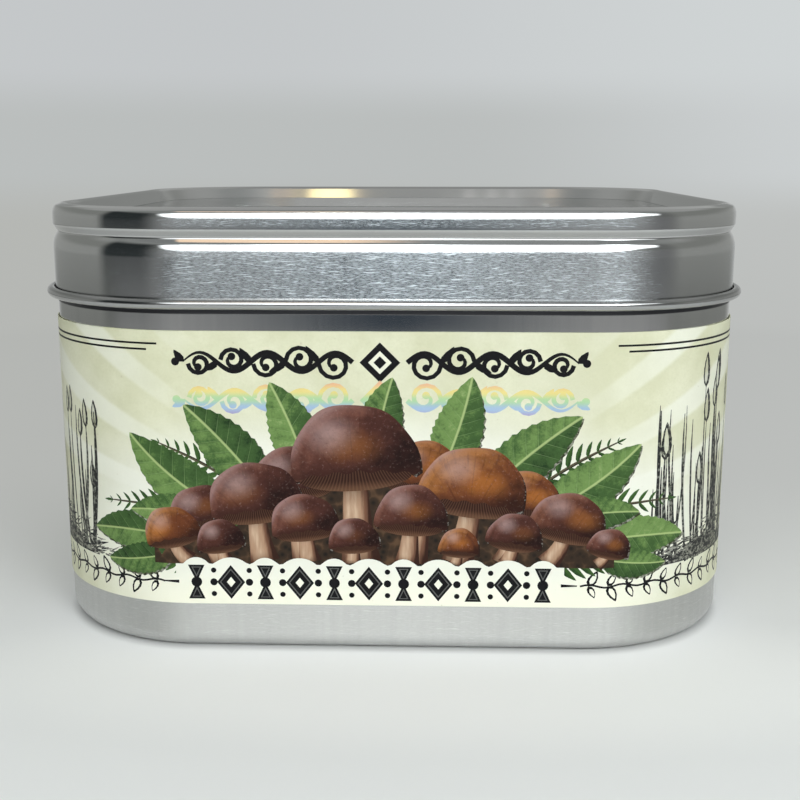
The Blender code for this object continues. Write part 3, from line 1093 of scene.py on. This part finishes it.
def cap_brown(ink):
    """A printed cap: russet or ochre under a mauve bloom, dark to the brim, with a warm glow on some."""
    x, y = ink.uv("motif")
    tone = ink.tone()
    chance = (tone * 13.7 + 0.31).fract()
    height = (1.0 - x * x - y * y).clamp().root()
    blotch = ink.specks(3.6, 4.0, 0.62)
    fine = ink.specks(22.0, 3.0, 0.7, z=1.0)
    light = 0.34 - x * 0.30 + (y - 0.42) * 0.40 + (blotch - 0.5) * 0.60 + (chance - 0.5) * 0.16
    light = light.clamp()
    russet = ((0.014, 0.005, 0.004), (0.065, 0.022, 0.016), (0.165, 0.064, 0.044), (0.34, 0.18, 0.145))
    ochre = ((0.030, 0.009, 0.004), (0.150, 0.045, 0.014), (0.380, 0.150, 0.036), (0.70, 0.40, 0.13))
    colour = ink.mix(chance.rise(0.60, 0.78) * 0.8, ink.shades(light, *russet), ink.shades(light, *ochre))
    inner = x - (tone * 0.9 - 0.45)
    glow = ((inner * 1.5) ** 2.0 + ((y - 0.28 - blotch * 0.25) * 2.8) ** 2.0).root().rise(0.95, 0.1)
    colour = ink.mix(glow * (chance * 0.42), colour, (0.56, 0.20, 0.035))
    turn = x.angle(y + 0.35)
    fibril = ink.noise(turn * 15.0, height * 1.2, 1.0, 3.0, 0.6, z=2.0).rise(0.50, 0.72)
    colour = ink.mix(fibril * 0.45, colour, (0.040, 0.012, 0.009))
    zone = ((1.0 - height) * 15.0 + blotch * 3.0).sin().rise(0.2, 1.0) * height.rise(0.95, 0.60)
    colour = ink.mix(zone * 0.22, colour, (0.030, 0.010, 0.008))
    bloom = (((x + 0.34) * 1.9) ** 2.0 + ((y - 0.60) * 2.6) ** 2.0).root().rise(1.0, 0.0) * (0.4 + blotch)
    colour = ink.mix(bloom * 0.42, colour, (0.50, 0.36, 0.35))
    edge = height.rise(0.55, 0.05) * y.rise(0.10, 0.55) * x.rise(0.5, -0.5)
    colour = ink.mix(edge * 0.50, colour, (0.40, 0.26, 0.25))
    colour = ink.mix(fine.rise(0.55, 0.8) * 0.30, colour, (0.44, 0.30, 0.27))
    colour = ink.mix(fine.rise(0.45, 0.25) * 0.35, colour, (0.020, 0.007, 0.006))
    brim = y.rise(0.16, 0.0)
    colour = ink.mix(brim * 0.55, colour, (0.028, 0.009, 0.006))
    lip = y.rise(-0.02, -0.10) * (1.0 - abs(x)).rise(0.0, 0.2)
    return ink.mix(lip * 0.35, colour, (0.50, 0.27, 0.15))


def gill_brown(ink):
    x, y = ink.uv("motif")
    comb = (x * 120.0 + y * x * 30.0).sin().rise(-0.6, 1.0)
    colour = ink.mix(comb * 0.7, (0.024, 0.009, 0.006), (0.095, 0.042, 0.024))
    return ink.mix(y.rise(-0.2, -1.0) * 0.5, colour, (0.20, 0.10, 0.055))


def stem_brown(ink):
    """A printed stem: round across, streaked along, darker under the cap and at its foot."""
    along, aside = ink.uv("motif")
    streak = ink.noise(ink.s * 16.0, ink.z * 2.2, 1.0, 3.0, 0.6)
    light = (0.80 - (aside - 0.25) ** 2.0 * 0.75 + (streak - 0.5) * 0.5).clamp()
    browns = ((0.035, 0.014, 0.009), (0.16, 0.075, 0.045), (0.40, 0.25, 0.16), (0.66, 0.50, 0.36))
    shadow = along.rise(0.60, 0.95) * 0.75 + along.rise(0.22, 0.0) * 0.55
    return ink.mix(shadow.clamp(), ink.shades(light, *browns), (0.030, 0.011, 0.007))


def mound_brown(ink):
    where = ink.node("CombineXYZ", ink.s, ink.z, 0.0)
    crumbs = ink.node("TexVoronoi", Vector=where, Scale=9.0)
    return ink.shades(crumbs, (0.012, 0.010, 0.008), (0.035, 0.022, 0.014), (0.10, 0.055, 0.03))


PAPER_ROUGHNESS = 0.52
INK_ROUGHNESS = 0.46
INKS = {  # what draws each, and its roughness
    "paper": (parchment, PAPER_ROUGHNESS),
    "paper_light": (light_paper, PAPER_ROUGHNESS),
    "black": (black, INK_ROUGHNESS),
    "pastel": (pastel, PAPER_ROUGHNESS),
    "pen": (thin(1.30, (0.022, 0.022, 0.022)), PAPER_ROUGHNESS),
    "pen_light": (thin(0.30, (0.10, 0.10, 0.10)), PAPER_ROUGHNESS),
    "shade": (thin(1.25, (0.035, 0.040, 0.018)), PAPER_ROUGHNESS),
    "gloom": (thin(1.35, (0.022, 0.010, 0.007)), PAPER_ROUGHNESS),
    "worn": (worn_black, PAPER_ROUGHNESS),
    "leaf": (leaf_green, INK_ROUGHNESS),
    "fern": (fern_green, INK_ROUGHNESS),
    "twig": (twig_brown, PAPER_ROUGHNESS),
    "cap": (cap_brown, INK_ROUGHNESS),
    "gills": (gill_brown, PAPER_ROUGHNESS),
    "stem": (stem_brown, PAPER_ROUGHNESS),
    "mound": (mound_brown, PAPER_ROUGHNESS),
}


def label_inks():
    """A material for each ink."""
    made = {}
    for name, (draw, roughness) in INKS.items():
        ink = Ink(name)
        made[name] = ink.printed(draw(ink), roughness)
    return made


# ---------------------------------------------------------------- pieces


def own(piece, node):
    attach(piece, "root")
    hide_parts(node)
    return piece


def tin_body(material):
    """The drawn can: flat base, rounded foot, straight wall and a rim rolled inwards under the lid."""
    inner = CORNER_CENTRE + 12  # from here inwards the base is filled across
    outer = rounded(((inner, 0, 0), (BODY_HALF, 0, BASE_ROUNDING), (BODY_HALF, BODY_TOP - 3, 0)))
    wall = BODY_HALF - SHEET / 2
    rim = arc((wall - RIM_ROLL, BODY_TOP - SHEET / 2 - RIM_ROLL), RIM_ROLL, 0, 285, 20)
    piece = swept("drawn_can", sheet(inset(outer, -SHEET / 2) + rim, SHEET), material, capped=True)
    return own(piece, "tin_body")


def lid_frame(material):
    """The pressed lid: slope round the window, flange, band, groove, skirt and curl."""
    corners = [(half, LID_LOW + rise, radius) for half, rise, radius in LID_FACE]
    outer = rounded(corners + [(SKIRT_HALF, LID_LOW + 2, 0)])
    roll = CURL_RADIUS - SHEET / 2
    curl = arc((SKIRT_HALF - SHEET / 2 + roll, LID_LOW + CURL_RADIUS), roll, 180, 475, 32)
    section = sheet(inset(outer, SHEET / 2) + curl, SHEET)
    slope = Vector(outer[1]) - Vector(outer[0])
    cut = PANE_TOP + PANE_GAP
    for end in (0, -1):  # the sheet's edge is cut level there
        half, height = section[end]
        section[end] = (half + (cut - height) * slope.x / slope.y, cut)
    piece = swept("pressed_lid", section, material)
    return own(piece, "lid_frame")


def window_pane(material):
    """A flat clear sheet with softened edges."""
    inner, soft = CORNER_CENTRE + 5, 0.06
    edge = (
        (inner, PANE_LOW, 0), (PANE_HALF, PANE_LOW, soft), (PANE_HALF, PANE_TOP, soft), (inner, PANE_TOP, 0),
    )
    piece = swept("clear_window", rounded(edge, 30), material, capped=True)
    return own(piece, "window_pane")


# ---------------------------------------------------------------- stage

# Glowing greys of the far floor and the backdrop: painted light.
FAR_GREYS = ((0.465, 0.475, 0.455), (0.515, 0.53, 0.52))  # left and right
FLOOR_EDGE = 0.34  # metres from the tin's middle
# Painted shadow on the floor, close round the tin's foot.
PAINTED_FOOT_SHADOW = (0.16, 0.16, 0.155)  # close round the tin's foot
WALL_FOOT = 0.9
WALL_BEND = 0.6  # radius in which the backdrop turns up
TURNED_STEPS = 96


def floor_finish():
    """Pale floor in front of the tin, with a painted pool of light there and a painted shadow round its foot.
    Behind it and further out the floor glows with the backdrop's grey: painted light, darker than the lit
    floor.
    """
    finish = Finish(bpy.data.materials.new("pale_floor"))
    x, y, _ = finish.place("Object")
    away = (x * x + y * y).root()
    # Behind the tin and further out the floor turns to a glowing grey: painted light, and painted shade
    # behind the tin.
    share = away.rise(0.15, 0.32).at_least(y.rise(-0.045, 0.06) * 0.85)
    # Painted light: a brighter oval pool on the floor just in front of the tin.
    middle = ((x - 0.01) * 12.0) ** 2.0 + ((y + 0.056) * 40.0) ** 2.0
    pale = finish.mix(middle.rise(1.0, 0.0), (0.84, 0.845, 0.84), (0.94, 0.94, 0.925))
    # Painted shadow: the floor is darker close round and under the tin's foot.
    out_x, out_y = ((abs(side) / MM - CORNER_CENTRE).at_least(0.0) for side in (x, y))
    gap = (out_x * out_x + out_y * out_y).root() - CORNER_RADIUS
    pale = finish.mix(gap.rise(0.9, -1.2) * 0.40, pale, PAINTED_FOOT_SHADOW)
    near = finish.node("BsdfDiffuse", Color=pale)
    far = finish.node("Emission", Color=finish.mix(x.rise(-0.2, 0.3), *FAR_GREYS))
    return finish.output("Material", finish.node("MixShader", share, near, far))


def backdrop_finish():
    """Glowing greys that grow lighter upwards and to the right: painted light."""
    finish = Finish(bpy.data.materials.new("backdrop"))
    x, _, z = finish.place("Object")
    low = finish.mix(x.rise(-0.2, 0.3), *FAR_GREYS)
    mid = finish.mix(x.rise(0.0, 0.45), (0.495, 0.515, 0.510), (0.60, 0.625, 0.63))
    high = finish.mix(x.rise(-0.3, 0.5), (0.555, 0.575, 0.585), (0.63, 0.66, 0.665))
    colour = finish.mix(z.rise(0.0, 0.05), low, mid)
    colour = finish.mix(z.rise(0.10, 0.17), colour, high)
    return finish.output("Material", finish.node("Emission", colour))


def turned(name, section, material, filled=False):
    """A surface of revolution about the tin's axis, from (radius, height) points in metres. Filled, its
    first ring is closed across."""
    work = bmesh.new()
    angles = [2 * math.pi * i / TURNED_STEPS for i in range(TURNED_STEPS)]
    rings = [
        [work.verts.new((radius * math.cos(a), radius * math.sin(a), height)) for a in angles]
        for radius, height in section
    ]
    for low, high in zip(rings, rings[1:]):
        for i in range(TURNED_STEPS):
            k = (i + 1) % TURNED_STEPS
            work.faces.new((low[i], low[k], high[k], high[i]))
    if filled:
        work.faces.new(rings[0])
    mesh = bpy.data.meshes.new(name)
    work.to_mesh(mesh)
    work.free()
    mesh.shade_smooth()
    made = mesh_object(name, mesh, material)
    return made


def stage():
    turned("floor", [(0.02, 0.0), (FLOOR_EDGE, 0.0)], floor_finish(), filled=True)
    rise = [math.radians(a) for a in range(6, 91, 6)]
    bend_up = [(WALL_FOOT + WALL_BEND * math.sin(a), WALL_BEND - WALL_BEND * math.cos(a)) for a in rise]
    wall = [(FLOOR_EDGE - 0.001, 0.0), (WALL_FOOT, 0.0)] + bend_up + [(WALL_FOOT + WALL_BEND, 1.8)]
    backdrop = turned("backdrop", wall, backdrop_finish())
    for ray in ("visible_diffuse", "visible_glossy", "visible_transmission", "visible_shadow"):
        setattr(backdrop, ray, False)


# ---------------------------------------------------------------- light and camera


PANEL_SIZE = (0.96, 0.33)
PANEL_WATTS = 6.8
PANEL_AIM = Vector((0.0, -0.03, 0.03))
PANEL_AWAY = 0.50 * Vector((0.17, -0.88, 0.445)).normalized()  # from where it aims


def front_panel():
    """One wide soft panel above the camera, narrower at both ends, with two brighter stretches."""
    lamp = bpy.data.lights.new("front_panel", "AREA")
    lamp.shape = "RECTANGLE"
    lamp.size, lamp.size_y = PANEL_SIZE
    lamp.energy = PANEL_WATTS
    glow = Finish(lamp)
    across, rise, _ = glow.place("UV")
    taper = across.rise(0.30, 0.0) * 0.55 + across.rise(0.50, 1.0) * 0.60
    edges = across.rise(0.08, 0.17) * across.rise(1.0, 0.92)
    edges = edges * (rise - taper).rise(0.0, 0.22) * rise.rise(1.0, 0.94)
    strength = 0.35 + abs(across - 0.385).rise(0.085, 0.015) * 0.95
    strength = strength + abs(across - 0.66).rise(0.14, 0.04) * 0.80
    glow.output("Light", glow.node("Emission", Color=(0.94, 0.985, 1.0), Strength=edges * strength))
    panel = bpy.data.objects.new("front_panel", lamp)
    bpy.context.scene.collection.objects.link(panel)
    panel.location = PANEL_AIM + PANEL_AWAY
    panel.rotation_euler = (PANEL_AIM - panel.location).to_track_quat("-Z", "Y").to_euler()
    panel.visible_camera = False


def room_walls(sky, side, up):
    """The walls, light behind the tin and dark straight in front of it."""
    back = sky.mix(up.rise(0.05, 0.15), (0.52, 0.53, 0.525), (0.29, 0.30, 0.29))
    back = sky.mix(up.rise(0.27, 0.36), back, (0.48, 0.49, 0.48))
    walls = sky.mix(up.rise(-0.15, -0.03), (0.20, 0.207, 0.197), (0.36, 0.37, 0.355))
    walls = sky.mix(up.rise(0.10, 0.30), walls, (0.27, 0.28, 0.265))
    walls = sky.mix(abs(side).rise(2.4, 2.85), walls, back)
    front = sky.mix(abs(side + 0.04).rise(0.20, 0.0), (0.30, 0.305, 0.305), (0.042, 0.054, 0.070))
    dim = side.rise(0.0, -0.2) * side.rise(-0.6, -0.3) * 0.9 + side.rise(0.0, 0.2) * 0.3
    dim = dim * up.rise(-0.125, -0.112) * up.rise(-0.065, -0.080)
    front = sky.mix(dim, front, (0.03, 0.035, 0.04))
    return sky.mix(abs(side).rise(1.30, 0.95) * up.rise(0.24, 0.12), walls, front)


def room_ceiling(sky, colour, x, y, up):
    """The ceiling, with a dim strip and a bright one across its front."""
    aside = abs(x - 0.02).rise(0.11, 0.16) * y.rise(0.0, -0.2)
    overhead = sky.mix(aside, (0.43, 0.44, 0.43), (0.33, 0.345, 0.335))
    colour = sky.mix(up.rise(0.45, 0.66), colour, overhead)
    strip = up.rise(0.66, 0.72) * up.rise(0.86, 0.80) * y.rise(-0.1, -0.3)
    colour = sky.mix(strip * 0.55, colour, (0.22, 0.23, 0.23))
    return sky.mix(up.rise(0.893, 0.908) * y.rise(-0.28, -0.36), colour, (0.60, 0.61, 0.60))


def side_gaps(sky, colour, side, up):
    """Two dark gaps, whose reflections stand at the tin's corners."""
    tall = (up.rise(0.70, 0.50), up.rise(-0.20, -0.02))
    left_gap = side.rise(-1.40, -1.20) * side.rise(-0.32, -0.76) * tall[0] * tall[1]
    colour = sky.mix(left_gap, colour, (0.030, 0.036, 0.037))
    right_gap = side.rise(0.68, 1.0) * side.rise(1.35, 1.08) * tall[0] * tall[1]
    return sky.mix(right_gap * 0.42, colour, (0.05, 0.052, 0.06))


def room_lights(sky, colour, x, y, up):
    """A warm glow, a row of small bright panes and a yellow lamp, seen in the window and the bands."""
    warm_x, warm_up = (x + 0.15) * 6.8, (up - 0.81) * 15.0
    warm = (warm_x * warm_x + warm_up * warm_up).root().rise(1.0, 0.45) * y.rise(0.0, -0.3)
    colour = sky.mix(warm, colour, (1.5, 1.12, 0.80))
    panes = (x * 343.0).sin().rise(-0.3, 0.7) * x.rise(0.0, 0.02) * x.rise(0.105, 0.085)
    panes = panes * abs(up - 0.874).rise(0.020, 0.006) * y.rise(0.0, -0.3)
    colour = sky.mix(panes * 0.8, colour, (1.0, 1.0, 0.97))
    lamp_x, lamp_y, lamp_up = x + 0.090, y + 0.465, up - 0.881
    away = (lamp_x * lamp_x + lamp_y * lamp_y + lamp_up * lamp_up).root()
    colour = sky.mix(away.rise(0.036, 0.012) * 0.4, colour, (0.90, 0.74, 0.54))
    return sky.mix(away.rise(0.021, 0.014), colour, (2.9, 2.4, 1.3))


def grey_room():
    """The world: a grey room that only the tin sees. The camera sees one even grey."""
    world = bpy.data.worlds.new("grey_room")
    bpy.context.scene.world = world
    sky = Finish(world)
    x, y, up = sky.place("Generated")  # a direction of length 1, so up is the sine of its rise
    side = x.angle(0.0 - y)  # how far round, in radians: 0 in front, and more to the right
    colour = room_walls(sky, side, up)
    colour = room_ceiling(sky, colour, x, y, up)
    colour = side_gaps(sky, colour, side, up)
    colour = sky.mix(up.rise(0.95, 0.97), colour, (0.29, 0.295, 0.29))
    colour = room_lights(sky, colour, x, y, up)
    lit = sky.node("Background", colour, 1.0)
    seen = sky.node("Background", (0.56, 0.585, 0.595), 1.0)
    camera_ray = sky.node("LightPath").out("Is Camera Ray")
    sky.output("World", sky.node("MixShader", camera_ray, lit, seen))


def photo_camera():
    """Where the photograph was taken from, worked out from the tin's own edges."""
    data = bpy.data.cameras.new("camera")
    data.sensor_width = 36.0
    data.lens = 54.14
    data.clip_start = 0.005
    data.clip_end = 20.0
    camera = bpy.data.objects.new("camera", data)
    bpy.context.scene.collection.objects.link(camera)
    camera.location = (0.00715, -0.2058, 0.0679)
    camera.rotation_euler = (math.radians(90 - 11.64), 0.0, math.radians(1.94))
    bpy.context.scene.camera = camera


# ---------------------------------------------------------------- the whole scene

body_finish = tinplate(
    "tinplate_body", ((0.66, 0.665, 0.66), (0.80, 0.80, 0.79)), bluish=(0.72, 0.72, 0.70),
    haze=0.45, fade=-0.7, soft=0.0, scratched=0.10, drawn=0.6, wear=BODY_WEAR, dull_and_shade=BODY_DULL_AND_SHADE,
)
lid_finish = tinplate(
    "tinplate_lid", ((0.55, 0.555, 0.555), (0.68, 0.68, 0.675)), bluish=(0.54, 0.63, 0.69),
    haze=0.30, fade=0.85, soft=0.2, scratched=1.0, drawn=0.05, wear=LID_WEAR, dull_and_shade=LID_DULL_AND_SHADE,
)

photo_camera()
stage()
front_panel()
grey_room()
bpy.context.scene.view_settings.view_transform = "Standard"
tin_body(body_finish)
lid_frame(lid_finish)
window_pane(clear_sheet())
own(paper_label(draw_label(), label_inks()), "paper_label")
